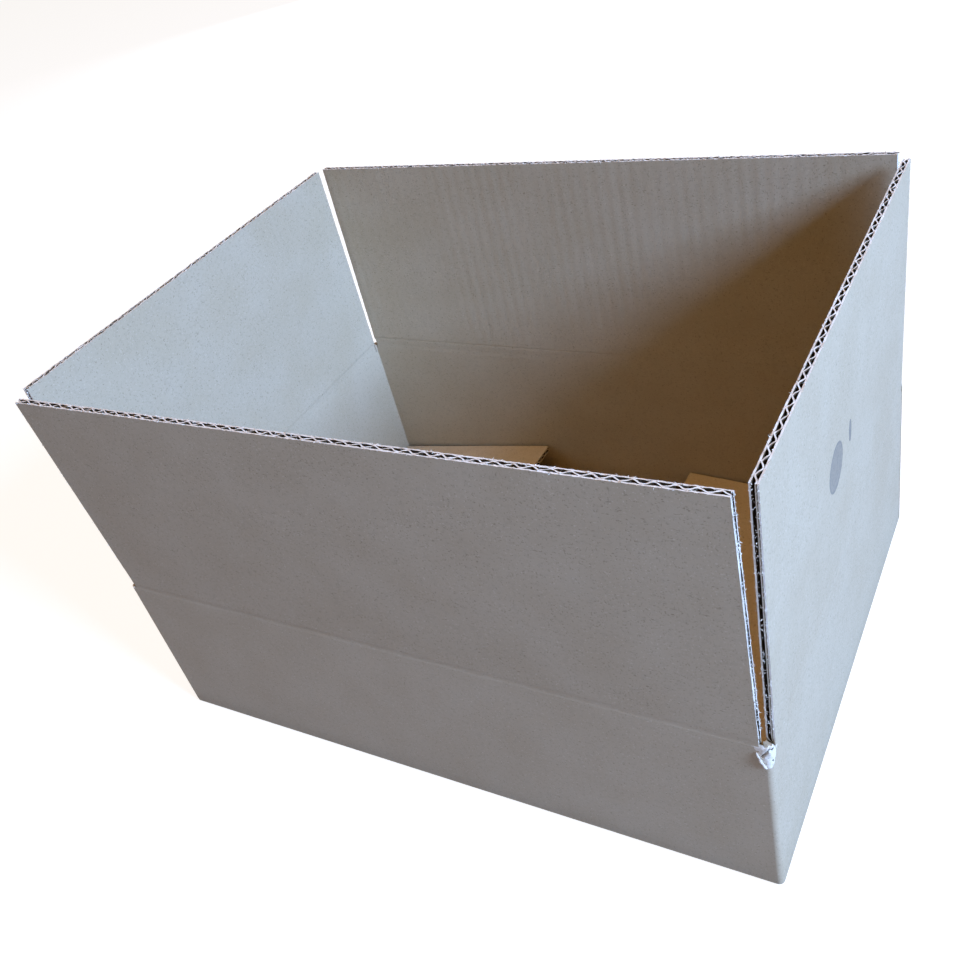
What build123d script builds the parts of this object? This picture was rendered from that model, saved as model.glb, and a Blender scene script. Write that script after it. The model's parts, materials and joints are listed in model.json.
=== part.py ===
"""Single-wall corrugated shipping box with its four top flaps standing open, in millimetres.

The origin is on the floor at the middle of the box. X runs along the long sides, Y from the
front wall to the back wall, and Z is up.
"""

import os
from math import radians, tan

from build123d import *

# Outside of the box, with its height from the floor to the long flaps' score lines
length = 305.0
width = 220.0
height = 84.0

# Single-wall board: two flat liners with a fluted sheet, the medium, glued between them
board = 3.0
liner = 0.45
medium = 0.4
flute_pitch = 6.4
flute_mouth = 4.4  # width of a flute's channel along the liner that closes it
flute_crest = 1.1  # width of the same channel at the crest of the medium

# Folded corners of the walls and the bottom
corner_radius = 2.4
inner_corner_radius = 0.6
bottom_fold_radius = 1.8

# Score lines: the board is crushed to a thin web, and the flaps turn about it
hinge_inset = 0.4  # depth of the turning line under the outer liner
score_gap = 0.3  # free height left at the web between wall and flap
fold_in_angle = 94.0  # opening of the crushed groove on the inside of the box
fold_out_angle = 137.0  # opening of the groove on the outside
crushed_reach = 4.5  # the flutes stay closed up to here above a score line
nest_clearance = 0.3  # room between the short flaps and the long flaps folded over them

# Top flaps
flap_end_inset = 4.0  # from the outside of a neighbouring wall to the flap's cut end
meeting_gap = 1.0  # between the free edges of two long flaps folded shut
long_flap_flare = 1.4  # lean outwards, in degrees, as the flaps stand
short_flap_flare = 0.8

# Bottom flaps: the long ones meet under the short ones, whose free ends have sprung up
bottom_end_inset = 4.0
bottom_seam = 1.0
bottom_rest_gap = 0.5
bottom_flap_reach = 107.0
left_spring_angle = 8.0  # rise of each short bottom flap from its fold, in degrees
right_spring_angle = 4.5

# Maker's joint: a glued lap inside the right wall, at the back corner
lap_width = 30.0
lap_thickness = 1.6
lap_end_inset = 9.0
lap_taper = 6.0
joint_notch_width = 1.0
joint_notch_depth = 1.6

overrun = 1.0  # how far a cutter reaches past what it cuts

short_score_height = height - board - nest_clearance
long_flap_reach = width / 2 - hinge_inset - meeting_gap / 2
flap_tip_height = height + long_flap_reach
short_flap_reach = flap_tip_height - short_score_height
long_flap_span = length - 2 * flap_end_inset
short_flap_span = width - 2 * flap_end_inset
channel_depth = board - 2 * liner - medium

# Depths on each side of the turning line, and the height of the crushed groove at each face
outer_depth = hinge_inset + overrun
inner_depth = board - hinge_inset + overrun
outer_rise = score_gap / 2 + outer_depth * tan(radians(fold_out_angle / 2))
inner_rise = score_gap / 2 + inner_depth * tan(radians(fold_in_angle / 2))


def score_plane(hinge_point, score_direction, flare=0):
    """Plane across the board at a score line: x runs along the score, y towards the box's inside."""
    upward = Vector(0, 0, 1).rotate(Axis((0, 0, 0), score_direction), flare)
    return Plane(origin=hinge_point, x_dir=score_direction, z_dir=upward)


def section_plane(base):
    """Plane through a score line's middle, across it: x towards the inside, y along the panel."""
    return Plane(origin=base.origin, x_dir=base.y_dir, z_dir=base.x_dir)


def flute_channels(span):
    """Trapezoid channels across a panel: every second one meets the inner liner, the rest the outer."""
    count = int(span / flute_pitch)
    to_liner = board / 2 - liner
    slope = Vector(channel_depth, (flute_mouth - flute_crest) / 2)
    flank_angle = slope.get_angle(Vector(0, 1))
    on_liner = (Align.CENTER, Align.MIN)
    with BuildSketch() as channels:
        with Locations((0, to_liner)):
            with GridLocations(flute_pitch, 0, count, 1):
                Trapezoid(flute_mouth, channel_depth, flank_angle, rotation=180, align=on_liner)
        with Locations((0, -to_liner)):
            with GridLocations(flute_pitch, 0, count + 1, 1):
                Trapezoid(flute_mouth, channel_depth, flank_angle, align=on_liner)
    return channels.sketch


def top_flap(label, hinge_point, score_direction, flare, span, reach):
    """One flap of corrugated board, standing on its score line, with the flutes open at its free edge."""
    base = score_plane(hinge_point, score_direction, flare)
    board_middle = (0, board / 2 - hinge_inset)
    channels = flute_channels(span)
    with BuildPart() as flap:
        with BuildSketch(base):
            with Locations(board_middle):
                Rectangle(span, board)
        extrude(amount=crushed_reach)
        with BuildSketch(base.offset(crushed_reach)):
            with Locations(board_middle):
                Rectangle(span, board)
                add(channels, mode=Mode.SUBTRACT)
        extrude(amount=reach - crushed_reach)
        # The groove's upper half bevels both faces of the board down to the web
        with BuildSketch(section_plane(base)):
            with BuildLine():
                Polyline(
                    (-outer_depth, -overrun),
                    (-outer_depth, outer_rise),
                    (0, score_gap / 2),
                    (inner_depth, inner_rise),
                    (inner_depth, -overrun),
                    close=True,
                )
            make_face()
        extrude(amount=span / 2 + overrun, both=True, mode=Mode.SUBTRACT)
    flap.part.label = label
    return flap.part


# Four score lines, each with the middle of its turning line and the direction of the score
half_length = length / 2 - hinge_inset
half_width = width / 2 - hinge_inset
front_score = ((0, -half_width, height), (1, 0, 0))
back_score = ((0, half_width, height), (-1, 0, 0))
right_score = ((half_length, 0, short_score_height), (0, 1, 0))
left_score = ((-half_length, 0, short_score_height), (0, -1, 0))

with BuildPart() as box_body:
    # Walls, bent round from one sheet
    with BuildSketch():
        RectangleRounded(length, width, corner_radius)
        RectangleRounded(length - 2 * board, width - 2 * board, inner_corner_radius, mode=Mode.SUBTRACT)
    extrude(amount=height)

    # Long bottom flaps, folded in from the front and back walls to meet at the seam
    with BuildSketch():
        Rectangle(length - 2 * bottom_end_inset, width - board)
        Rectangle(length, bottom_seam, mode=Mode.SUBTRACT)
    extrude(amount=board)
    fillet(box_body.faces().sort_by(Axis.Z)[0].outer_wire().edges(), bottom_fold_radius)

    # Short bottom flaps, over the long ones, with their free ends sprung up
    bottom_flap_span = width - 2 * bottom_end_inset
    from_fold = (Align.MIN, Align.CENTER)
    for side, spring_angle in ((-1, left_spring_angle), (1, right_spring_angle)):
        spring = side * spring_angle
        fold = Plane(
            origin=(side * (length - board) / 2, 0, board + bottom_rest_gap),
            x_dir=Vector(-side, 0, 0).rotate(Axis.Y, spring),
            z_dir=Vector(0, 0, 1).rotate(Axis.Y, spring),
        )
        with BuildSketch(fold):
            Rectangle(bottom_flap_reach + board / 2, bottom_flap_span, align=from_fold)
        extrude(amount=board)

    # Glued lap of the maker's joint, with tapered ends
    lap_height = short_score_height - inner_rise - lap_end_inset
    with BuildSketch(Plane.YZ.offset(length / 2 - board - lap_thickness)):
        with BuildLine():
            lap_root = width / 2 - board
            Polyline(
                (lap_root, board + bottom_rest_gap),
                (lap_root - lap_width, board + bottom_rest_gap + lap_taper),
                (lap_root - lap_width, lap_height - lap_taper),
                (lap_root, lap_height),
                close=True,
            )
        make_face()
    extrude(amount=lap_thickness)
    with BuildSketch(Plane.XY):
        with Locations((length / 2, width / 2 - corner_radius)):
            Rectangle(2 * joint_notch_depth, joint_notch_width, align=(Align.CENTER, Align.MAX))
    extrude(amount=height, mode=Mode.SUBTRACT)

    # Score lines: each wall's top is bevelled down on both faces from the web
    for hinge_point, score_direction in (front_score, back_score, right_score, left_score):
        with BuildSketch(section_plane(score_plane(hinge_point, score_direction))):
            with BuildLine():
                Polyline(
                    (-outer_depth, board + overrun),
                    (-outer_depth, -outer_rise),
                    (0, -score_gap / 2),
                    (inner_depth, -inner_rise),
                    (inner_depth, board + overrun),
                    close=True,
                )
            make_face()
        extrude(amount=length / 2, both=True, mode=Mode.SUBTRACT)

box_body.part.label = "box_body"

pieces = [
    box_body.part,
    top_flap("front_flap", *front_score, long_flap_flare, long_flap_span, long_flap_reach),
    top_flap("back_flap", *back_score, long_flap_flare, long_flap_span, long_flap_reach),
    top_flap("right_flap", *right_score, short_flap_flare, short_flap_span, short_flap_reach),
    top_flap("left_flap", *left_score, short_flap_flare, short_flap_span, short_flap_reach),
]

os.makedirs("parts", exist_ok=True)
for piece in pieces:
    export_step(piece, f"parts/{piece.label}.step")
    print(piece.label, "volume", round(piece.volume), "mm3, solids", len(piece.solids()))
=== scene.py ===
# %% [markdown]
# # A cardboard box, one piece at a time
#
# The box is one sheet of single-wall corrugated board: two flat papers, the liners, with a wavy
# paper, the medium, glued between them. It is cut, scored, folded round and glued along one lap.
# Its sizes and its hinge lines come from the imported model, so this lesson only has to give every
# panel the form and the finish of real board.

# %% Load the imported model
import json
import math

import bpy
import numpy as np
from mathutils import Euler, Matrix, Vector, noise
from mathutils.geometry import intersect_point_line


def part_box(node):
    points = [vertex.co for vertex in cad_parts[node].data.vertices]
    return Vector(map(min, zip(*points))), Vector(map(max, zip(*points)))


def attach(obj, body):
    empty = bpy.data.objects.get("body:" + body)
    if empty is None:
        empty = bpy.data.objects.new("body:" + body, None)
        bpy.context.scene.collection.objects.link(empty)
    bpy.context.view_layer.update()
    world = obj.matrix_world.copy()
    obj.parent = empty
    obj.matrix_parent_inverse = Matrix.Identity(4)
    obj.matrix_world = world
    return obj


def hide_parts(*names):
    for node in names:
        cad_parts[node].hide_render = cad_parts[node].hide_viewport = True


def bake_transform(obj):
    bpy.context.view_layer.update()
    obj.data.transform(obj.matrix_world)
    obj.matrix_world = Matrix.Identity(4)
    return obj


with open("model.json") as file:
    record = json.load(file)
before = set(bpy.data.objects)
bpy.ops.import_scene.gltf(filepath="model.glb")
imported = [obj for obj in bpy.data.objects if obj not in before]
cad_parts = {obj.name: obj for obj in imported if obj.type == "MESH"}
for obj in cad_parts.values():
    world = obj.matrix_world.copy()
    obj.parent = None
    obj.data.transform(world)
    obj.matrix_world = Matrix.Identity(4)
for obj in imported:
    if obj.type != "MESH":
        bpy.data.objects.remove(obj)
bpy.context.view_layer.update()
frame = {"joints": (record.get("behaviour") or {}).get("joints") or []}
MM = 0.001
UP = Vector((0, 0, 1))

body_low, body_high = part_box("box_body")
LENGTH = body_high.x - body_low.x
WIDTH = body_high.y - body_low.y
HINGES = {joint["child"]: Vector(joint["pos_m"]) for joint in frame["joints"]}
LONG_SCORE = HINGES["front_flap"].z
SHORT_SCORE = HINGES["right_flap"].z
BOARD = 3.0 * MM
HINGE_INSET = WIDTH / 2 + HINGES["front_flap"].y
print(f"box {LENGTH:.4f} x {WIDTH:.4f} m, score lines at {LONG_SCORE:.4f} and {SHORT_SCORE:.4f} m")

# %% [markdown]
# Every finish below is a small tree of shader nodes. One function adds a node, sets its own
# settings and fills its inputs, either with a number or with a link from another node's socket.
# Short ones after it add the nodes that come back most: a sum, a noise, a new range and a mix of
# two colours. Colours are written as the hex values that a picture shows, and turned to linear light.

# %% Helpers for node trees
# The Mix node has inputs for each kind of value: these are its two colours and its mixed colour
FIRST, SECOND, MIXED = 6, 7, 2


def linear(hex_colour):
    """An sRGB hex colour as linear red, green, blue and alpha."""
    shares = [int(hex_colour[i : i + 2], 16) / 255 for i in (1, 3, 5)]
    return [s / 12.92 if s <= 0.04045 else ((s + 0.055) / 1.055) ** 2.4 for s in shares] + [1.0]


def add_node(tree, kind, inputs=None, **settings):
    """Add one node: settings are its properties, inputs are numbers or sockets to link from."""
    node = tree.nodes.new(kind)
    for name, value in settings.items():
        setattr(node, name, value)
    for key, value in (inputs or {}).items():
        if isinstance(value, bpy.types.NodeSocket):
            tree.links.new(value, node.inputs[key])
        else:
            node.inputs[key].default_value = value
    return node


def calculate(tree, operation, *values):
    """Add a Math node that works on numbers or sockets, and return its result."""
    return add_node(tree, "ShaderNodeMath", dict(enumerate(values)), operation=operation).outputs[0]


def add_noise(tree, place, size, detail):
    """Add a Noise node with patches of about this size, and return its value."""
    inputs = {"Vector": place, "Scale": 1 / size, "Detail": detail}
    return add_node(tree, "ShaderNodeTexNoise", inputs).outputs["Fac"]


def remap(tree, value, low, high, to_low=0.0, to_high=1.0):
    """Add a Map Range node from low and high to two new ends, and return its result."""
    inputs = {"Value": value, "From Min": low, "From Max": high, "To Min": to_low, "To Max": to_high}
    return add_node(tree, "ShaderNodeMapRange", inputs).outputs["Result"]


def mix(tree, share, first, second):
    """Add a Mix node for two colours, and return the mixed colour."""
    inputs = {"Factor": share, FIRST: first, SECOND: second}
    return add_node(tree, "ShaderNodeMix", inputs, data_type="RGBA").outputs[MIXED]


# %% [markdown]
# Liner paper is unbleached, recycled kraft: matt, a grey beige, clouded where the pulp lay thicker,
# and flecked with darker and paler fibres a millimetre or so long. The clouds are noise at a real
# 28 mm, the flecks are stretched noise cut off by a steep ramp, and the tooth of the paper is a
# fine bump. The fleck layers lie across each other, since fibres point every way. The real tooth
# is finer than a pixel here, so it is drawn at 0.5 mm, as coarse as it needs to show.

# %% Kraft paper
PAPER_ROUGHNESS = 0.88
PAPER_SHINE = 0.25
CLOUD_SIZE = 28 * MM
CLOUD_RANGE = (0.36, 0.66)
TOOTH_SIZE = 0.5 * MM
TOOTH_DEPTH = 0.05 * MM
TOOTH_STRENGTH = 0.6
# Each kind of fleck: colour, strength, the ramp's lowest and highest noise, size along x, y and z
FLECKS = [
    ("#8E8170", 0.12, 0.52, 0.70, (2.2 * MM, 2.2 * MM, 1.8 * MM)),
    ("#6F5F4B", 0.42, 0.645, 0.74, (1.1 * MM, 1.1 * MM, 0.6 * MM)),
    ("#7E6C55", 0.38, 0.645, 0.74, (0.6 * MM, 0.7 * MM, 1.2 * MM)),
    ("#E2D8C4", 0.35, 0.65, 0.74, (0.9 * MM, 0.9 * MM, 0.7 * MM)),
]


def kraft_paper(name, colour, cloud_colour, print_on=None):
    """Matt kraft paper. print_on may lay ink over the paper's colour, and returns the new colour."""
    material = bpy.data.materials.new(name)
    material.use_nodes = True
    tree = material.node_tree
    shader = tree.nodes["Principled BSDF"]
    shader.inputs["Roughness"].default_value = PAPER_ROUGHNESS
    shader.inputs["Specular IOR Level"].default_value = PAPER_SHINE
    place = add_node(tree, "ShaderNodeTexCoord").outputs["Object"]

    clouds = add_noise(tree, place, CLOUD_SIZE, detail=5.0)
    thick = remap(tree, clouds, *CLOUD_RANGE)
    paint = mix(tree, thick, linear(colour), linear(cloud_colour))

    for fleck_colour, strength, low, high, size in FLECKS:
        stretch = {"Vector": place, "Scale": [1 / side for side in size]}
        stretched = add_node(tree, "ShaderNodeMapping", stretch).outputs["Vector"]
        fibres = add_noise(tree, stretched, size=1.0, detail=1.0)
        mask = remap(tree, fibres, low, high, 0.0, strength)
        paint = mix(tree, mask, paint, linear(fleck_colour))

    if print_on:
        paint = print_on(tree, place, paint)
    tree.links.new(paint, shader.inputs["Base Color"])

    tooth = add_noise(tree, place, TOOTH_SIZE, detail=3.0)
    relief = {"Height": tooth, "Distance": TOOTH_DEPTH, "Strength": TOOTH_STRENGTH}
    bump = add_node(tree, "ShaderNodeBump", relief)
    tree.links.new(bump.outputs["Normal"], shader.inputs["Normal"])
    return material


# %% [markdown]
# One short flap carries a small printed mark on its outside. Only its place, its size and its grey
# are kept: a plain disc with a darker rim, and a plain dash beside it. Each is a mask of distance on
# the flap's own plane, so it turns with the flap: stretching that plane turns the disc's circle into
# the dash's narrow oval. Ink on rough paper is never quite even, so noise thins it.

# %% Printed mark
# Each shape: middle on the flap along y and z, half its size along y and z, strength of its ink
MARKS = [
    ((-19.4 * MM, 132 * MM), (10 * MM, 10 * MM), 0.62),
    ((2.3 * MM, 133 * MM), (2.0 * MM, 5.0 * MM), 0.75),
]
INK_COLOUR = "#4F5660"
# Softness of a shape's edge and start of its rim, as shares of its size
INK_EDGE, INK_RIM = 0.05, 0.85
# How strong the ink is in a shape's middle and at its rim
MIDDLE_INK, RIM_INK = 0.8, 1.3
# Patches where the paper takes less ink: their size, the noise that makes them, the ink left there
PATCH_SIZE = 1.2 * MM
PATCH_RANGE = (0.3, 0.6)
PATCH_INK = 0.75


def print_mark(tree, place, paint):
    """Lay the grey disc and the dash beside it over the paper's colour."""
    patchy = add_noise(tree, place, PATCH_SIZE, detail=2.0)
    cover = remap(tree, patchy, *PATCH_RANGE, PATCH_INK)
    for (y, z), (half_y, half_z), strength in MARKS:
        stretch = {
            "Vector": place,
            "Location": (0, -y / half_y, -z / half_z),
            "Scale": (0, 1 / half_y, 1 / half_z),
        }
        shares = add_node(tree, "ShaderNodeMapping", stretch).outputs["Vector"]
        share = add_node(tree, "ShaderNodeVectorMath", {0: shares}, operation="LENGTH").outputs["Value"]
        inside = remap(tree, share, 1, 1 - INK_EDGE, 0, strength)
        rim = remap(tree, share, INK_RIM, 1, MIDDLE_INK, RIM_INK)
        ink = calculate(tree, "MULTIPLY", calculate(tree, "MULTIPLY", inside, rim), cover)
        paint = mix(tree, ink, paint, linear(INK_COLOUR))
    return paint


# %% [markdown]
# Five papers dress the box. The outer liner is a little darker than the inner one, and one flap's has
# the print. The medium is a browner paper, and its colour is made much darker still, as painted shade
# of the deep flutes it lies in. A cut edge shows the pale, torn core of the sheet. One function makes
# them all, so they share one grain.

# %% Papers of the box
outer_paper = kraft_paper("outer_liner_paper", "#C0B29B", "#BBAC94")
printed_paper = kraft_paper("printed_liner_paper", "#C0B29B", "#BBAC94", print_mark)
inner_paper = kraft_paper("inner_liner_paper", "#C3B7A1", "#BEB199")
# The medium's colour is darker than its paper: part of it is painted shade of the flutes that it lies in
medium_paper_with_painted_shade = kraft_paper("fluting_paper_with_painted_shade", "#5E4C36", "#4E3E2B")
cut_paper = kraft_paper("cut_paper_edge", "#F2EDE4", "#E4DCCF")
for paper in (outer_paper, printed_paper, inner_paper, medium_paper_with_painted_shade, cut_paper):
    print(paper.name, "has", len(paper.node_tree.nodes), "nodes")

# %% [markdown]
# The waves inside the board follow a rule, so Geometry Nodes makes every panel. A grid becomes one
# paper: its points move by a cosine along the panel, it is extruded to the paper's thickness, and the
# same grid, turned over, closes its back. A loop lays three such papers into one tree: two flat
# liners and a medium with a full wave between them. The cosine starts at the panel's end, so there
# the medium lies against the outer liner. Cut sides get the pale paper of a fresh cut. The sides
# that face the flutes, the liners' too, get the medium's dark paper, as painted shade inside the
# flutes. Named inputs hold the sizes.

# %% Geometry Nodes tree for corrugated board
FLUTE_PITCH = 6.4 * MM
LINER = 0.6 * MM
MEDIUM = 0.5 * MM
WAVE = (BOARD - 2 * LINER - MEDIUM) / 2
WELD_DISTANCE = MM / 1000
# Liner sides that face the flutes take the medium's dark paper: painted shade inside the flutes
# Each layer: swing of its wave, level of its inner side, thickness, columns, inner and outer paper
LAYERS = [
    ("inner liner", 0, 0, LINER, "Liner Columns", "Inner Paper", "Medium Paper With Painted Shade"),
    ("medium", WAVE, LINER + WAVE, MEDIUM, "Wave Columns", "Medium Paper With Painted Shade", "Medium Paper With Painted Shade"),
    ("outer liner", 0, BOARD - LINER, LINER, "Liner Columns", "Medium Paper With Painted Shade", "Outer Paper"),
]
PAPERS = ("Inner Paper", "Medium Paper With Painted Shade", "Outer Paper", "Cut Paper")


def board_layer(tree, sizes, swing, level, thickness, columns, inner, outer):
    """Add the nodes of one paper of the board, and return the socket with its mesh."""
    flat = {"Size X": sizes["Span"], "Size Y": sizes["Reach"]}
    flat |= {"Vertices X": sizes[columns], "Vertices Y": sizes["Rows"]}
    grid = add_node(tree, "GeometryNodeMeshGrid", flat).outputs["Mesh"]
    position = add_node(tree, "GeometryNodeInputPosition").outputs["Position"]
    along = add_node(tree, "ShaderNodeSeparateXYZ", {"Vector": position}).outputs["X"]
    end = calculate(tree, "MULTIPLY", sizes["Span"], 0.5)
    waves = calculate(tree, "DIVIDE", calculate(tree, "SUBTRACT", end, along), sizes["Pitch"])
    cosine = calculate(tree, "COSINE", calculate(tree, "MULTIPLY", waves, math.tau))
    height = calculate(tree, "MULTIPLY_ADD", cosine, swing, level)
    lift = add_node(tree, "ShaderNodeCombineXYZ", {"Z": height}).outputs["Vector"]
    lifted = {"Geometry": grid, "Offset": lift}
    wavy = add_node(tree, "GeometryNodeSetPosition", lifted).outputs["Geometry"]
    extrusion = {"Mesh": wavy, "Offset Scale": thickness, "Individual": False}
    thick = add_node(tree, "GeometryNodeExtrudeMesh", extrusion)
    back = add_node(tree, "GeometryNodeFlipFaces", {"Mesh": wavy})
    closed = add_node(tree, "GeometryNodeJoinGeometry", {"Geometry": thick.outputs["Mesh"]})
    tree.links.new(back.outputs["Mesh"], closed.inputs["Geometry"])
    seam = {"Geometry": closed.outputs["Geometry"], "Distance": WELD_DISTANCE}
    paper = add_node(tree, "GeometryNodeMergeByDistance", seam).outputs["Geometry"]
    for material, part in ((inner, None), (outer, "Top"), ("Cut Paper", "Side")):
        finish = {"Geometry": paper, "Material": sizes[material]}
        dressed = add_node(tree, "GeometryNodeSetMaterial", finish)
        if part:
            tree.links.new(thick.outputs[part], dressed.inputs["Selection"])
        paper = dressed.outputs["Geometry"]
    return paper


def corrugated_board_tree():
    """The tree that makes one flat panel of board: x along the score, y up the panel, z outwards."""
    tree = bpy.data.node_groups.new("corrugated_board", "GeometryNodeTree")
    sockets = [("Span", "Float"), ("Reach", "Float"), ("Pitch", "Float")]
    sockets += [("Liner Columns", "Int"), ("Wave Columns", "Int"), ("Rows", "Int")]
    sockets += [(paper, "Material") for paper in PAPERS]
    for name, kind in sockets:
        tree.interface.new_socket(name, in_out="INPUT", socket_type="NodeSocket" + kind)
    tree.interface.new_socket("Board", in_out="OUTPUT", socket_type="NodeSocketGeometry")
    sizes = add_node(tree, "NodeGroupInput").outputs
    join = add_node(tree, "GeometryNodeJoinGeometry")
    for _, *layer in LAYERS:
        tree.links.new(board_layer(tree, sizes, *layer), join.inputs["Geometry"])
    real = add_node(tree, "GeometryNodeRealizeInstances", {"Geometry": join.outputs["Geometry"]})
    add_node(tree, "NodeGroupOutput", {"Board": real.outputs["Geometry"]})
    return tree


def mesh_from_tree(tree, name, inputs, start=()):
    """Run a Geometry Nodes tree with these inputs, on these start points, and keep its plain mesh."""
    start_mesh = bpy.data.meshes.new(name)
    start_mesh.from_pydata(start, [], [])
    holder = bpy.data.objects.new(name, start_mesh)
    bpy.context.scene.collection.objects.link(holder)
    modifier = holder.modifiers.new(name, "NODES")
    modifier.node_group = tree
    for item in tree.interface.items_tree:
        if item.in_out == "INPUT" and item.name in inputs:
            modifier[item.identifier] = inputs[item.name]
    evaluated = holder.evaluated_get(bpy.context.evaluated_depsgraph_get())
    mesh = bpy.data.meshes.new_from_object(evaluated)
    bpy.data.objects.remove(holder)
    bpy.data.meshes.remove(start_mesh)
    mesh.name = name
    return mesh


board_tree = corrugated_board_tree()
print("board tree has", len(board_tree.nodes), "nodes")

# %% [markdown]
# Real panels are not flat plates. At the score line the board is crushed to a thin web, a standing
# flap bows a little between its ends, the glue draws a faint washboard of flutes into the liners,
# and a die cut leaves its edges slightly ragged. The tree gives a flat panel, so these are plain
# moves of its points afterwards, and the last move sets the panel in its place. Rows of points
# crowd towards the score, where the form changes fastest.

# %% Ways to shape a panel
SCORE_HALF_GAP = 0.15 * MM
INNER_GROOVE = math.tan(math.radians(47))
OUTER_GROOVE = math.tan(math.radians(68.5))
GROOVE_SHARPNESS = 10
FRAY = 0.35 * MM
FRAY_LENGTH = 1.4 * MM
EDGE_MARGIN = MM / 100
# A shift that gives a second, unlike noise at the same places
END_SHIFT = Vector((0, 0, 40))
# The ripple's usual height, its mean strength and the drift of that, and the lengths of the drift
WASHBOARD = 0.012 * MM
MEAN_RIPPLE, RIPPLE_DRIFT = 0.7, 0.3
LONG_DRIFT, SHORT_DRIFT, DRIFT_SHIFT = 19 * MM, 7.3 * MM, 1.3


def soft_limit(ratio):
    """Rises as the ratio does, then levels off smoothly at one."""
    ratio = np.maximum(ratio, 0)
    return ratio / (1 + ratio**GROOVE_SHARPNESS) ** (1 / GROOVE_SHARPNESS)


def crushed(up, depth):
    """Depth of points from the turning line, squeezed to the web near the score."""
    rise = np.maximum(up - SCORE_HALF_GAP, 0)
    inner = soft_limit(rise / INNER_GROOVE / (BOARD - HINGE_INSET))
    outer = soft_limit(rise / OUTER_GROOVE / HINGE_INSET)
    return np.where(depth < 0, depth * inner, depth * outer)


def washboard(along, height=WASHBOARD):
    """Faint ripple of the flutes in a liner, stronger in some stretches than in others."""
    drift = np.sin(along / LONG_DRIFT) * np.sin(along / SHORT_DRIFT + DRIFT_SHIFT)
    strength = MEAN_RIPPLE + RIPPLE_DRIFT * drift
    return height * strength * np.sin(math.tau * along / FLUTE_PITCH)


def ragged(points, span, reach):
    """Small, fixed shifts of a panel's cut edges, in its own plane."""
    at_end = np.abs(np.abs(points[:, 0]) - span / 2) < EDGE_MARGIN
    at_tip = np.abs(points[:, 1] - reach) < EDGE_MARGIN
    for index in np.flatnonzero(at_end | at_tip):
        sample = Vector(points[index]) / FRAY_LENGTH
        if at_tip[index]:
            points[index, 1] += FRAY * noise.noise(sample)
        if at_end[index]:
            bite = FRAY * (0.5 + 0.5 * noise.noise(sample + END_SHIFT))
            points[index, 0] -= math.copysign(bite, points[index, 0])
    return points


# %% [markdown]
# What isn't a panel is built from points and faces. Some of it is a tube: one loop of points carried
# along a line, with both its ends closed. Every finished piece is shaded smooth up to its sharp
# edges and linked to the scene, and a piece that is given a body is set on the body of the imported
# model that it moves with.

# %% Ways to make a piece
SHARP_EDGE = math.radians(38)


def plain_mesh(name, points, faces, *papers):
    """A mesh of these points and faces, with these papers in its slots."""
    mesh = bpy.data.meshes.new(name)
    mesh.from_pydata(points, [], faces)
    for paper in papers:
        mesh.materials.append(paper)
    return mesh


def tube_faces(loops, size):
    """Faces of a tube of so many loops, with this many points in each, and of its two closed ends."""
    faces = []
    for loop in range(loops - 1):
        here, there = loop * size, (loop + 1) * size
        for side in range(size):
            beside = (side + 1) % size
            faces.append((here + side, here + beside, there + beside, there + side))
    last = loops * size - 1
    return faces + [tuple(range(size)), tuple(range(last, last - size, -1))]


def add_piece(name, mesh, body):
    """Link a finished mesh to the scene as a piece of the box, riding on a body if one is given."""
    mesh.shade_smooth()
    mesh.set_sharp_from_angle(angle=SHARP_EDGE)
    piece = bpy.data.objects.new(name, mesh)
    bpy.context.scene.collection.objects.link(piece)
    if body:
        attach(piece, body)
    return piece


# %% [markdown]
# A panel then takes three steps: run the tree, shape the points of its flat mesh, and set them up on
# the turning line. One function makes all eight flaps, top and bottom. The medium has more columns
# in each flute than the liners, so that its wave stays round where the cut edge shows it.

# %% One panel of board, set in its place
LINER_STEPS = 6
WAVE_STEPS = 12
PANEL_ROWS = 24
# The bow grows up the panel as a sine does, from nought at the score to this turn at the tip
BOW_TURN = 0.75 * math.pi


def set_in_place(points, origin, along, upward, span, reach, form):
    """Shape a flat panel's points and set them up on the turning line."""
    depth = points[:, 2] - (BOARD - HINGE_INSET)
    if form:
        bow, (twist_start, twist_end), ripple = form
        depth = crushed(points[:, 1], depth + washboard(points[:, 0], ripple))
        across = points[:, 0] / span + 0.5
        rise = np.clip(points[:, 1] / reach, 0, 1)
        depth += bow * 4 * across * (1 - across) * np.sin(rise * BOW_TURN)
        depth += rise * (twist_start * (1 - across) ** 2 + twist_end * across**2)
    along, upward = np.array(along, float), np.array(upward, float)
    outward = np.cross(along, upward)
    flat = np.outer(points[:, 0], along) + np.outer(points[:, 1], upward)
    return np.array(origin) + flat + np.outer(depth, outward)


def board_panel(name, body, origin, along, upward, span, reach, form=None, outside=outer_paper):
    """A panel from its turning line at the origin, along its score, upward to its free edge.

    A panel with a form has a crushed score, a bow, a twist of its two ends, and a ripple.
    """
    flutes = span / FLUTE_PITCH
    inputs = {"Span": span, "Reach": reach, "Pitch": FLUTE_PITCH, "Rows": PANEL_ROWS}
    inputs |= {"Liner Columns": int(flutes * LINER_STEPS), "Wave Columns": int(flutes * WAVE_STEPS)}
    inputs |= dict(zip(PAPERS, (inner_paper, medium_paper_with_painted_shade, outside, cut_paper)))
    mesh = mesh_from_tree(board_tree, name, inputs)

    points = np.empty(len(mesh.vertices) * 3)
    mesh.vertices.foreach_get("co", points)
    points = points.reshape(-1, 3)
    share = points[:, 1] / reach + 0.5
    points[:, 1] = SCORE_HALF_GAP + (reach - SCORE_HALF_GAP) * share**2
    points = ragged(points, span, reach)
    placed = set_in_place(points, origin, along, upward, span, reach, form)
    mesh.vertices.foreach_set("co", placed.ravel())
    mesh.update()
    print(name, "has", len(mesh.vertices), "points and", len(mesh.polygons), "faces")
    return add_piece(name, mesh, body)


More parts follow.
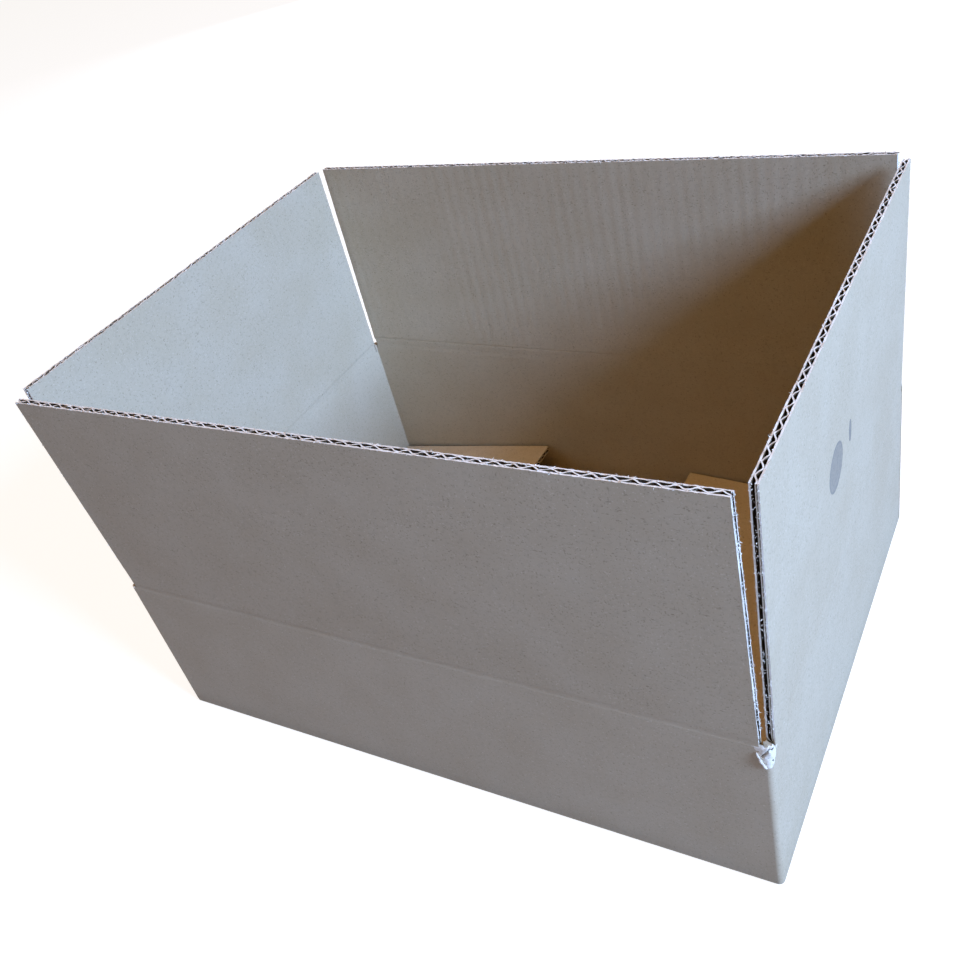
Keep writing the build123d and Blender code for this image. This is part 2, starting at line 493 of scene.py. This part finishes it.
# %% [markdown]
# A blunt knife doesn't cut paper clean: fibres and slivers stick out all along a cut edge. They are
# hundreds of copies of one thing, so a second tree scatters them: a thin three-sided cone is the
# sliver, and each point of an edge gets one, turned and sized by a random value with a fixed seed.

# %% Geometry Nodes tree for frayed fibres
SLIVER_RADIUS = 0.17 * MM
SLIVER_LENGTH = 0.8 * MM
SMALLEST, LARGEST = 0.4, 1.4
TURN_SEED, SIZE_SEED = 3, 8


def frayed_fibre_tree():
    """The tree that sets a sliver of paper on every point that it is given."""
    tree = bpy.data.node_groups.new("frayed_fibres", "GeometryNodeTree")
    tree.interface.new_socket("Edge Points", in_out="INPUT", socket_type="NodeSocketGeometry")
    tree.interface.new_socket("Paper", in_out="INPUT", socket_type="NodeSocketMaterial")
    tree.interface.new_socket("Fibres", in_out="OUTPUT", socket_type="NodeSocketGeometry")
    given = add_node(tree, "NodeGroupInput").outputs
    sliver = add_node(
        tree,
        "GeometryNodeMeshCone",
        {"Vertices": 3, "Radius Top": 0, "Radius Bottom": SLIVER_RADIUS, "Depth": SLIVER_LENGTH},
    )
    turns = {"Max": [math.tau] * 3, "Seed": TURN_SEED}
    turn = add_node(tree, "FunctionNodeRandomValue", turns, data_type="FLOAT_VECTOR")
    sizes = {0: [SMALLEST] * 3, 1: [LARGEST] * 3, "Seed": SIZE_SEED}
    size = add_node(tree, "FunctionNodeRandomValue", sizes, data_type="FLOAT_VECTOR")
    copies = add_node(
        tree,
        "GeometryNodeInstanceOnPoints",
        {
            "Points": given["Edge Points"],
            "Instance": sliver.outputs["Mesh"],
            "Rotation": turn.outputs["Value"],
            "Scale": size.outputs["Value"],
        },
    )
    real = add_node(tree, "GeometryNodeRealizeInstances", {"Geometry": copies.outputs["Instances"]})
    dressed = add_node(
        tree, "GeometryNodeSetMaterial", {"Geometry": real.outputs["Geometry"], "Material": given["Paper"]}
    )
    add_node(tree, "NodeGroupOutput", {"Fibres": dressed.outputs["Geometry"]})
    return tree


fibre_tree = frayed_fibre_tree()
print("fibre tree has", len(fibre_tree.nodes), "nodes")

# %% [markdown]
# Fibres belong on the cut edges alone: along both ends of a flap and along its tip, most of them on
# the two liners and fewer on the medium between. Close to the score, where the board is crushed,
# there are none. Each flap draws with a seed of its own, so no two fray alike.

# %% Points along a flap's cut edges
FIBRES_EACH_MM = 3
FIRST_FIBRE = 6.0 * MM
# Shares of the fibres: on the inner liner, moved to the medium at the ends, and kept at the tip
INNER_SHARE, MEDIUM_SHARE, TIP_SHARE = 0.5, 0.4, 0.5


def edge_points(span, reach, seed):
    """Points scattered along a flat panel's two ends and its tip, most of them on the liners."""
    scatter = np.random.default_rng(seed)
    count = int((2 * reach + span) / MM * FIBRES_EACH_MM)
    run = scatter.uniform(0, 2 * reach + span, count)
    along = np.clip(run - reach, 0, span) - span / 2
    up = np.minimum(np.minimum(run, 2 * reach + span - run), reach)
    depth = np.where(scatter.random(count) < INNER_SHARE, LINER / 2, BOARD - LINER / 2)
    depth += scatter.normal(0, LINER / 3, count)
    in_middle = (scatter.random(count) < MEDIUM_SHARE) & (up < reach)
    depth = np.where(in_middle, scatter.uniform(LINER, BOARD - LINER, count), depth)
    kept = (up > FIRST_FIBRE) & ((up < reach) | (scatter.random(count) < TIP_SHARE))
    return np.column_stack((along, up, depth))[kept]


# %% [markdown]
# The four top flaps stand open, each leaning out by a degree or so. The turning line comes from the
# joint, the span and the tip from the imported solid, so the panel lies where its solid does. Real
# flaps aren't quite true: one corner of the front flap hangs out a little, the left flap's far end
# leans in, and the two flaps at the far left slot were cut a little longer, so it is narrow.

# %% Top flaps
# Each flap: direction along its score, lean outwards in degrees, its form as bow, twist of its two
# ends and ripple, what one end has in length over the solid's (below zero: its start), outer paper
TOP_FLAPS = {
    "front_flap": (Vector((1, 0, 0)), 1.4, (0.9 * MM, (2.5 * MM, 0), 0.008 * MM), 0, outer_paper),
    "back_flap": (Vector((-1, 0, 0)), 1.4, (0.2 * MM, (0, 0), 0.03 * MM), 0.4 * MM, outer_paper),
    "right_flap": (Vector((0, 1, 0)), 0.8, (-0.2 * MM, (0, 0), 0.01 * MM), 0, printed_paper),
    "left_flap": (Vector((0, -1, 0)), 0.8, (-0.2 * MM, (-2.2 * MM, 0), 0.01 * MM), -0.3 * MM, outer_paper),
}
SPANS = {}
UPWARDS = {}

for name, (along, lean, form, longer, paper) in TOP_FLAPS.items():
    low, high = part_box(name)
    SPANS[name] = abs((high - low).dot(along))
    UPWARDS[name] = Matrix.Rotation(math.radians(lean), 3, along) @ UP
    start = HINGES[name] + along * longer / 2
    span = SPANS[name] + abs(longer)
    reach = (high.z - HINGES[name].z) / UPWARDS[name].z
    flap = board_panel(name + "_board", name, start, along, UPWARDS[name], span, reach, form, paper)
    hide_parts(name)
    edge = edge_points(span, reach, len(SPANS))
    edge = set_in_place(edge, start, along, UPWARDS[name], span, reach, form)
    fibres = mesh_from_tree(fibre_tree, name + "_fibres", {"Paper": cut_paper}, edge)
    add_piece(fibres.name, fibres, name)
    print(fibres.name, "has", len(edge), "slivers")

# %% [markdown]
# The four walls are one band of board, bent at three folds and closed by the lap. A band is a section
# swept round the box, so it is made as a ring of columns: at each column the section runs up the
# outside, over the crushed web at the top, and down the inside. The corners are arcs, whose radius
# shrinks with depth. At each corner a slot parts two flaps, so there the top is blunt and a little
# ragged. Near the joint's corner, at the back of the right wall, the outside has the narrow gap
# between the end of the wall and the fold of the lap.

# %% Walls in plan
CORNER_RADIUS = 2.4 * MM
INNER_RADIUS = 0.6 * MM
CORNER_STEPS = 12
FLAP_END_INSET = 4.0 * MM
SLOT_LENGTH = 0.3 * MM
SLOT_STEPS = 4
NOTCH_WIDTH = 1.0 * MM
NOTCH_DEPTH = 1.6 * MM
# Width of the steep sides of slots and notch: a share of half a wall, not a length
STEP_WIDTH = 0.0004
SIDES = (("front", LENGTH), ("right", WIDTH), ("back", LENGTH), ("left", WIDTH))


def wall_columns():
    """Columns round the box: wall, place along it from -1 to 1, way outwards, and slot or not."""
    columns = []
    for side, (name, size) in enumerate(SIDES):
        facing = math.radians(90 * side - 90)
        flat = size / 2 - CORNER_RADIUS
        slot, notch = 1 - SLOT_LENGTH / flat, 1 - NOTCH_WIDTH / flat
        ends = np.linspace(slot, 1, SLOT_STEPS)
        middle = np.linspace(-slot, slot, int(size / FLUTE_PITCH * LINER_STEPS))[1:-1]
        steps = np.array((slot - STEP_WIDTH, notch, notch - STEP_WIDTH))
        middle = np.sort(np.concatenate((middle, steps, -steps)))
        columns += [(name, -place, facing, True) for place in ends[::-1]]
        columns += [(name, place, facing, False) for place in middle]
        columns += [(name, place, facing, True) for place in ends]
        turns = np.linspace(0, math.pi / 2, CORNER_STEPS)[1:-1]
        columns += [("corner", 1, facing + turn, True) for turn in turns]
    return columns


def wall_place(name, place, facing, depth):
    """Point at this depth under the walls' outside, at one column, seen from above."""
    radius = max(CORNER_RADIUS - depth, INNER_RADIUS)
    half = Vector((LENGTH / 2 - depth - radius, WIDTH / 2 - depth - radius))
    way = Vector((math.cos(facing), math.sin(facing)))
    if name == "corner":
        return Vector((math.copysign(half.x, way.x), math.copysign(half.y, way.y))) + way * radius
    if name in ("front", "back"):
        return Vector((-way.y * place * half.x, way.y * (half.y + radius)))
    return Vector((way.x * (half.x + radius), way.x * place * half.y))


# %% [markdown]
# In section a wall starts at the rounded fold of the bottom, rises to the shoulder of the crushed
# score, narrows to the web and comes down the inside. The rows of points crowd in the top twelve
# millimetres of the outside, because the torn corner needs them there.

# %% Walls in section
BOTTOM_RADIUS = 1.8 * MM
FOLD_STEPS = 5
WALL_ROWS = 8
TORN_DEPTH = 12.0 * MM
TORN_ROWS = 24
# How far the blunt top of a slot falls off on the outside and on the inside
SLOT_OUTER_DROP, SLOT_INNER_DROP = 0.3 * MM, 0.5 * MM


def wall_section(top, slot):
    """Depth and height of a section's points, up the outside, over the top and down the inside."""
    outer_drop = SLOT_OUTER_DROP if slot else OUTER_GROOVE * HINGE_INSET
    inner_drop = SLOT_INNER_DROP if slot else INNER_GROOVE * (BOARD - HINGE_INSET)
    section = []
    for turn in np.linspace(0, math.pi / 2, FOLD_STEPS):
        section.append((BOTTOM_RADIUS * (1 - math.sin(turn)), BOTTOM_RADIUS * (1 - math.cos(turn))))
    shoulder = top - outer_drop
    section += [(0, z) for z in np.linspace(BOTTOM_RADIUS, shoulder - TORN_DEPTH, WALL_ROWS)[1:]]
    section += [(0, z) for z in np.linspace(shoulder - TORN_DEPTH, shoulder, TORN_ROWS)[1:]]
    section.append((HINGE_INSET, top))
    section += [(BOARD, z) for z in np.linspace(top - inner_drop, BOTTOM_RADIUS, WALL_ROWS)]
    return section


print("a wall's section has", len(wall_section(LONG_SCORE, False)), "points")

# %% [markdown]
# The slot at the near right corner is torn. Its outer liner has peeled off down to white fibre, two
# cracks and a small hole run into the fold, and a scrap stands up between the flaps. It is easiest to
# draw on the sheet laid flat, so places here are millimetres round the fold, from the front towards
# the right wall, and up from the floor. Points in a crack sink, and its faces get the medium's dark
# paper: partly the medium showing through, partly painted shade in the cracks and the hole.

# %% Torn corner
SLOT_SINK = 0.4 * MM
SCRAP_HEIGHT = 2.9 * MM
SCRAP_MARGIN, SCRAP_SLOPE = 0.4 * MM, 1.0 * MM
CRACK_DEPTH = 0.7 * MM
TORN_BUMP = 0.35 * MM
TORN_LENGTH = 1.5 * MM
SLOT_SHIFT = Vector((9, 5, 3))
# The torn edge in millimetres: its lowest height, the place on the front wall where it starts to
# climb, its slopes on the front and the right wall, and how far it wanders
TORN_LOWEST, TORN_FOOT = 72.2, -2.2
FRONT_SLOPE, RIGHT_SLOPE = 2.6, 1.3
TORN_WANDER = 0.8
# Each crack: its two ends and its half width; the hole is a crack with hardly any length
CRACKS = [
    (Vector((-3.4, 78.4)), Vector((0.6, 83.8)), 0.4),
    (Vector((-1.0, 81.3)), Vector((1.9, 81.9)), 0.32),
    (Vector((1.0, 75.8)), Vector((1.1, 75.8)), 0.5),
]
# The walls' four papers, by their order in the mesh; a crack's is the medium's dark paper, partly painted
# shade
LINER_KEPT, INSIDE, FIBRE, CRACK = 0, 1, 2, 3


def wall_top(name, slot, spot):
    """Height of the web at one column: the score line, a slot's bottom, or the torn scrap's top."""
    if not slot:
        return (LONG_SCORE if name in ("front", "back") else SHORT_SCORE) - SCORE_HALF_GAP
    past_flaps = min(abs(spot.x) - LENGTH / 2, abs(spot.y) - WIDTH / 2) + FLAP_END_INSET
    rise = min(max((past_flaps - SCRAP_MARGIN) / SCRAP_SLOPE, 0), 1)
    return SHORT_SCORE - SLOT_SINK + SCRAP_HEIGHT * rise


def torn_state(spot):
    """What is left of the outer liner at a spot: the liner itself, white fibre, or a crack."""
    if spot.x < 0 or spot.y > 0:
        return LINER_KEPT
    here = Vector((spot.x + spot.y - (LENGTH - WIDTH) / 2, spot.z)) / MM
    for start, end, half_width in CRACKS:
        _, share = intersect_point_line(here, start, end)
        nearest = start.lerp(end, min(max(share, 0), 1))
        if (here - nearest).length < half_width:
            return CRACK
    edge = TORN_LOWEST + FRONT_SLOPE * max(TORN_FOOT - here.x, 0) + RIGHT_SLOPE * max(here.x, 0)
    edge += TORN_WANDER * noise.noise(spot / TORN_LENGTH)
    return FIBRE if here.y > edge else LINER_KEPT


# %% [markdown]
# Columns and section now come together as one closed ring. Each point moves as its place asks: into
# a crack, out with the loose fibre, up with the ragged bottom of a slot, or back into the gap at the
# joint. Each face then takes the paper of what is left there; in a crack that is the medium's dark
# paper, which carries painted shade.

# %% Band of the four walls
NOTCH_START = WIDTH / 2 - CORNER_RADIUS - NOTCH_WIDTH - EDGE_MARGIN
NOTCH_END = WIDTH / 2 - CORNER_RADIUS - EDGE_MARGIN


def wall_band():
    """Mesh of the four walls as one closed ring of columns."""
    columns = wall_columns()
    rows = len(wall_section(LONG_SCORE, False))
    torn_from = FOLD_STEPS + WALL_ROWS - 2
    web = torn_from + TORN_ROWS
    points, faces, papers = [], [], []
    for name, place, facing, slot in columns:
        outward = Vector((math.cos(facing), math.sin(facing), 0))
        plan = wall_place(name, place, facing, 0)
        in_notch = name == "right" and NOTCH_START < plan.y < NOTCH_END
        for row, (depth, z) in enumerate(wall_section(wall_top(name, slot, plan), slot)):
            spot = wall_place(name, place, facing, depth).to_3d() + UP * z
            state = torn_state(spot) if torn_from < row <= web else LINER_KEPT
            if state == CRACK:
                spot -= outward * CRACK_DEPTH
            elif state == FIBRE:
                spot += outward * TORN_BUMP * noise.noise(spot / TORN_LENGTH)
            if slot and row >= web - 1 and depth < BOARD:
                spot += UP * TORN_BUMP * noise.noise(spot / TORN_LENGTH + SLOT_SHIFT)
            if in_notch and row < web:
                spot -= outward * NOTCH_DEPTH
            points.append(spot + outward * float(washboard(np.array(spot.x + spot.y))))
    for column, (*_, slot) in enumerate(columns):
        here, there = column * rows, (column + 1) % len(columns) * rows
        for row in range(rows):
            above = (row + 1) % rows
            corners = (here + row, there + row, there + above, here + above)
            faces.append(corners)
            if row >= web:
                papers.append(INSIDE)
            elif row < torn_from:
                papers.append(LINER_KEPT)
            elif slot and row >= web - 2:
                papers.append(FIBRE)
            else:
                papers.append(torn_state(sum((points[corner] for corner in corners), Vector()) / 4))
    mesh = plain_mesh("walls", points, faces, outer_paper, inner_paper, cut_paper, medium_paper_with_painted_shade)
    mesh.polygons.foreach_set("material_index", papers)
    mesh.update()
    return mesh


walls = add_piece("walls", wall_band(), "box")
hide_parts("box_body")
print("walls have", len(walls.data.polygons), "faces")

# %% [markdown]
# Where the torn liner still hangs on, its edge has rolled back on itself. The roll is a thin strip of
# paper bent round along the torn edge, tight at both ends, with its pale inner side outwards.

# %% Rolled edge of the torn liner
ROLL_START = Vector((LENGTH / 2 - 5.2 * MM, -WIDTH / 2, 80.0 * MM))
ROLL_END = Vector((LENGTH / 2 - 2.1 * MM, -WIDTH / 2, 72.4 * MM))
ROLL_RADIUS = 0.6 * MM
ROLL_TURN = math.radians(230)
ROLL_THICK = 0.2 * MM
ROLL_STEPS = 20
TURN_STEPS = 14
# The roll's radius, as shares: at its ends, what its middle has more, its unevenness and how fast
# that swings along the roll
END_SHARE, MIDDLE_SHARE = 0.45, 0.55
UNEVEN_SHARE, UNEVEN_PACE = 0.12, 17


def rolled_edge():
    """Mesh of a strip of paper rolled up along a line on the front wall."""
    way = (ROLL_END - ROLL_START).normalized()
    outward = Vector((0, -1, 0))
    aside = outward.cross(way)
    turns = np.linspace(0, ROLL_TURN, TURN_STEPS)
    loop = [(turn, 0) for turn in turns] + [(turn, ROLL_THICK) for turn in turns[::-1]]
    points = []
    for step in np.linspace(0, 1, ROLL_STEPS):
        middle = ROLL_START.lerp(ROLL_END, step)
        share = END_SHARE + MIDDLE_SHARE * math.sin(math.pi * step)
        radius = ROLL_RADIUS * (share + UNEVEN_SHARE * math.sin(UNEVEN_PACE * step))
        for turn, sunk in loop:
            arm = radius - sunk
            roll = outward * (radius - arm * math.cos(turn)) - aside * (arm * math.sin(turn))
            points.append(middle + roll)
    return plain_mesh("rolled_liner_edge", points, tube_faces(ROLL_STEPS, len(loop)), cut_paper)


add_piece("rolled_liner_edge", rolled_edge(), "box")
print("rolled edge is", round((ROLL_END - ROLL_START).length / MM, 1), "mm long")

# %% [markdown]
# The sheet's two ends are joined by a lap: a tongue on the back wall that folds round the corner and
# is glued inside the right wall. It is crushed flat, so it is thinner than the board, and its ends
# are cut at a slant to clear the flaps. A flat prism is enough for it.

# %% Glued lap
LAP_WIDTH = 30.0 * MM
LAP_THICK = 1.6 * MM
LAP_TAPER = 6.0 * MM
LAP_BEVEL = 0.35 * MM
LAP_LOW, LAP_HIGH = 3.5 * MM, 67.7 * MM


def glued_lap():
    """Mesh of the lap, against the inside of the right wall, with its free edges bevelled."""
    root, face = WIDTH / 2 - BOARD, LENGTH / 2 - BOARD
    points = []
    for depth, inset in ((0, 0), (LAP_THICK - LAP_BEVEL, 0), (LAP_THICK, LAP_BEVEL)):
        x, tip = face - depth, root - LAP_WIDTH + inset
        low, high = LAP_LOW + inset, LAP_HIGH - inset
        points += [(x, root, low), (x, tip, low + LAP_TAPER)]
        points += [(x, tip, high - LAP_TAPER), (x, root, high)]
    faces = [(0, 1, 2, 3), (11, 10, 9, 8)]
    for ring in (0, 4):
        for side in range(4):
            beside = (side + 1) % 4
            faces.append((ring + side, ring + side + 4, ring + beside + 4, ring + beside))
    mesh = plain_mesh("glued_lap", points, faces, inner_paper, cut_paper)
    mesh.polygons.foreach_set("material_index", [0, 0] + [1] * 8)
    return mesh


add_piece("glued_lap", glued_lap(), "box")
print("lap is", round(LAP_WIDTH / MM), "mm wide")

# %% [markdown]
# At a score line both liners still run across from wall to flap: only the fluting between them is
# crushed. Each liner there is a narrow strip with a shallow dent, which fills the groove that the
# stiff panels leave.

# %% Liners across the score lines
STRIP_ALONG = 60
STRIP_ACROSS = 21
STRIP_THICK = 0.3 * MM
STRIP_PROUD = 0.02 * MM
STRIP_END_GAP = 0.3 * MM
# The strip's two edges sink into the liner: how deep, and how late they start to
STRIP_SINK = 0.05 * MM
SINK_POWER = 8
# The dent's half width, as a share of the strip's
DENT_SHARE = 0.42
# Each strip: name, depth of its face from the turning line, half width, depth of its dent
SCORE_STRIPS = [
    ("inner", HINGE_INSET - BOARD, 4.2 * MM, 0.10 * MM),
    ("outer", HINGE_INSET, 4.0 * MM, 0.09 * MM),
]


def score_strip(name, hinge, along, upward, half_span, face, half_width, dent):
    """Mesh of a liner's strip along a score, as a thin band with a dent along its middle."""
    outward = along.cross(UP)
    away = math.copysign(1, face)
    shares = np.linspace(-1, 1, STRIP_ACROSS)
    profile = STRIP_PROUD - STRIP_SINK * shares**SINK_POWER
    profile -= dent * np.exp(-((shares / DENT_SHARE) ** 2))
    loop = list(zip(shares, profile))
    loop += [(share, height - STRIP_THICK) for share, height in reversed(loop)]
    points = []
    for step in np.linspace(-half_span, half_span, STRIP_ALONG):
        for share, height in loop:
            spot = hinge + along * step + (upward if share > 0 else UP) * (share * half_width)
            points.append(spot + outward * (face + away * height))
    faces = tube_faces(STRIP_ALONG, len(loop))
    if away < 0:
        faces = [face_points[::-1] for face_points in faces]
    return plain_mesh(name, points, faces)


for name, (along, *_) in TOP_FLAPS.items():
    for layer, *sizes in SCORE_STRIPS:
        half_span, half_width = SPANS[name] / 2 - STRIP_END_GAP, sizes[1]
        strip_name = f"{name}_{layer}_score"
        mesh = score_strip(strip_name, HINGES[name], along, UPWARDS[name], half_span, *sizes)
        mesh.materials.append(inner_paper if layer == "inner" else outer_paper)
        strip = add_piece(mesh.name, mesh, None)
        low, high = HINGES[name] - UP * half_width, HINGES[name] + UP * half_width
        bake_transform(strip)
print("score strips:", len(TOP_FLAPS) * len(SCORE_STRIPS))

# %% [markdown]
# The bottom is closed by four flaps of the same sheet. The long ones come in from the front and back
# and meet at a seam; the short ones lie over them, and their free ends have sprung up a little.

# %% Bottom flaps
BOTTOM_END_INSET = 4.0 * MM
BOTTOM_SEAM = 0.5 * MM
BOTTOM_REST_GAP = 0.5 * MM
BOTTOM_REACH = 107.0 * MM
LEFT_SPRING = math.radians(8.0)
RIGHT_SPRING = math.radians(4.5)

for name, side in (("bottom_front_flap", -1), ("bottom_back_flap", 1)):
    start = Vector((0, side * (WIDTH / 2 - BOTTOM_RADIUS), HINGE_INSET))
    reach = WIDTH / 2 - BOTTOM_RADIUS - BOTTOM_SEAM / 2
    span = LENGTH - 2 * BOTTOM_END_INSET
    board_panel(name, "box", start, (side, 0, 0), (0, -side, 0), span, reach)

for name, side, spring in (("bottom_left_flap", -1, LEFT_SPRING), ("bottom_right_flap", 1, RIGHT_SPRING)):
    start = Vector((side * (LENGTH - BOARD) / 2, 0, BOARD + BOTTOM_REST_GAP + HINGE_INSET))
    upward = (-side * math.cos(spring), 0, math.sin(spring))
    span = WIDTH - 2 * BOTTOM_END_INSET
    reach = BOTTOM_REACH + BOARD / 2
    board_panel(name, "box", start, (0, -side, 0), upward, span, reach)

# %% [markdown]
# The stage is a pale floor under a white sky. The floor adds a little white of its own for the
# camera alone, so it looks white and keeps the shadow, while the light that it throws on the box
# stays that of a pale grey table. It lies a hair under the box, so that the two never share a plane.

# %% Floor
FLOOR_SIZE = 8.0
FLOOR_DROP = 0.2 * MM
FLOOR_GREY = "#A8A8A8"
FLOOR_ROUGHNESS = 0.9
FLOOR_WHITE = 0.85
WHITE = "#FFFFFF"

floor_material = bpy.data.materials.new("pale_floor")
floor_material.use_nodes = True
floor_tree = floor_material.node_tree
floor_shader = floor_tree.nodes["Principled BSDF"]
floor_shader.inputs["Base Color"].default_value = linear(FLOOR_GREY)
floor_shader.inputs["Roughness"].default_value = FLOOR_ROUGHNESS
floor_shader.inputs["Emission Color"].default_value = linear(WHITE)
seen = add_node(floor_tree, "ShaderNodeLightPath").outputs["Is Camera Ray"]
glow = calculate(floor_tree, "MULTIPLY", seen, FLOOR_WHITE)
floor_tree.links.new(glow, floor_shader.inputs["Emission Strength"])

half = FLOOR_SIZE / 2
corners = [(-half, -half, 0), (half, -half, 0), (half, half, 0), (-half, half, 0)]
floor = bpy.data.objects.new("floor", plain_mesh("floor", corners, [(0, 1, 2, 3)], floor_material))
floor.location.z = -FLOOR_DROP
bpy.context.scene.collection.objects.link(floor)
print("floor is", FLOOR_SIZE, "m wide")

# %% [markdown]
# The sky works in the same way: the camera sees plain white, and the box gets a weak and warm fill,
# like light that has come back from the walls of a room.

# %% Sky
SKY_FILL = 0.20
SKY_TINT = "#FFCF8A"

world = bpy.data.worlds.new("studio")
bpy.context.scene.world = world
world.use_nodes = True
sky_tree = world.node_tree
sky = sky_tree.nodes["Background"]
seen = add_node(sky_tree, "ShaderNodeLightPath").outputs["Is Camera Ray"]
sky_tree.links.new(mix(sky_tree, seen, linear(SKY_TINT), linear(WHITE)), sky.inputs["Color"])
sky_tree.links.new(remap(sky_tree, seen, 0, 1, SKY_FILL, 1), sky.inputs["Strength"])
print("sky fills the shadows with a strength of", SKY_FILL)

# %% [markdown]
# The main light is one wide, soft and cool lamp on the right, as from a window. Two small, cool and
# much weaker ones stand low in front and behind, so that no wall is lost in the dark, and a weak,
# warm one hangs above, as in a room.

# %% Lamps
# Each lamp: place, size, power and colour
LAMPS = {
    "window_light": (Vector((1.69, -0.32, 1.07)), 0.6, 80.0, "#A9CCFF"),
    "front_light": (Vector((-0.3, -1.6, 0.1)), 0.3, 3.6, "#B4CFFF"),
    "back_light": (Vector((-1.0, 1.5, 0.12)), 0.3, 11.0, "#DCE8FF"),
    "room_light": (Vector((-0.1, -0.1, 1.9)), 0.5, 8.0, "#FFC583"),
}
AIM = Vector((0, 0, 0.1))

for name, (place, size, power, colour) in LAMPS.items():
    lamp_data = bpy.data.lights.new(name, "AREA")
    lamp_data.size = size
    lamp_data.energy = power
    lamp_data.color = linear(colour)[:3]
    lamp = bpy.data.objects.new(name, lamp_data)
    bpy.context.scene.collection.objects.link(lamp)
    lamp.location = place
    lamp.rotation_euler = (AIM - place).to_track_quat("-Z", "Y").to_euler()
    print(name, "has", power, "W")

# %% [markdown]
# The camera's place, turn and lens were worked out from the box's corners in the picture. Colours
# pass through the plain, standard view, so they show about as they are written.

# %% Camera
SENSOR_WIDTH, LENS = 36.0, 38.27
NEAREST = 0.01
CAMERA_PLACE = (0.2265, -0.31705, 0.37285)
CAMERA_TURN = (52.721, 12.701, 27.939)

camera_data = bpy.data.cameras.new("camera")
camera_data.sensor_width = SENSOR_WIDTH
camera_data.lens = LENS
camera_data.clip_start = NEAREST
camera = bpy.data.objects.new("camera", camera_data)
camera.location = CAMERA_PLACE
camera.rotation_euler = Euler([math.radians(turn) for turn in CAMERA_TURN])
bpy.context.scene.collection.objects.link(camera)
bpy.context.scene.camera = camera
bpy.context.scene.view_settings.view_transform = "Standard"
print("camera stands at", CAMERA_PLACE, "with a lens of", LENS, "mm")
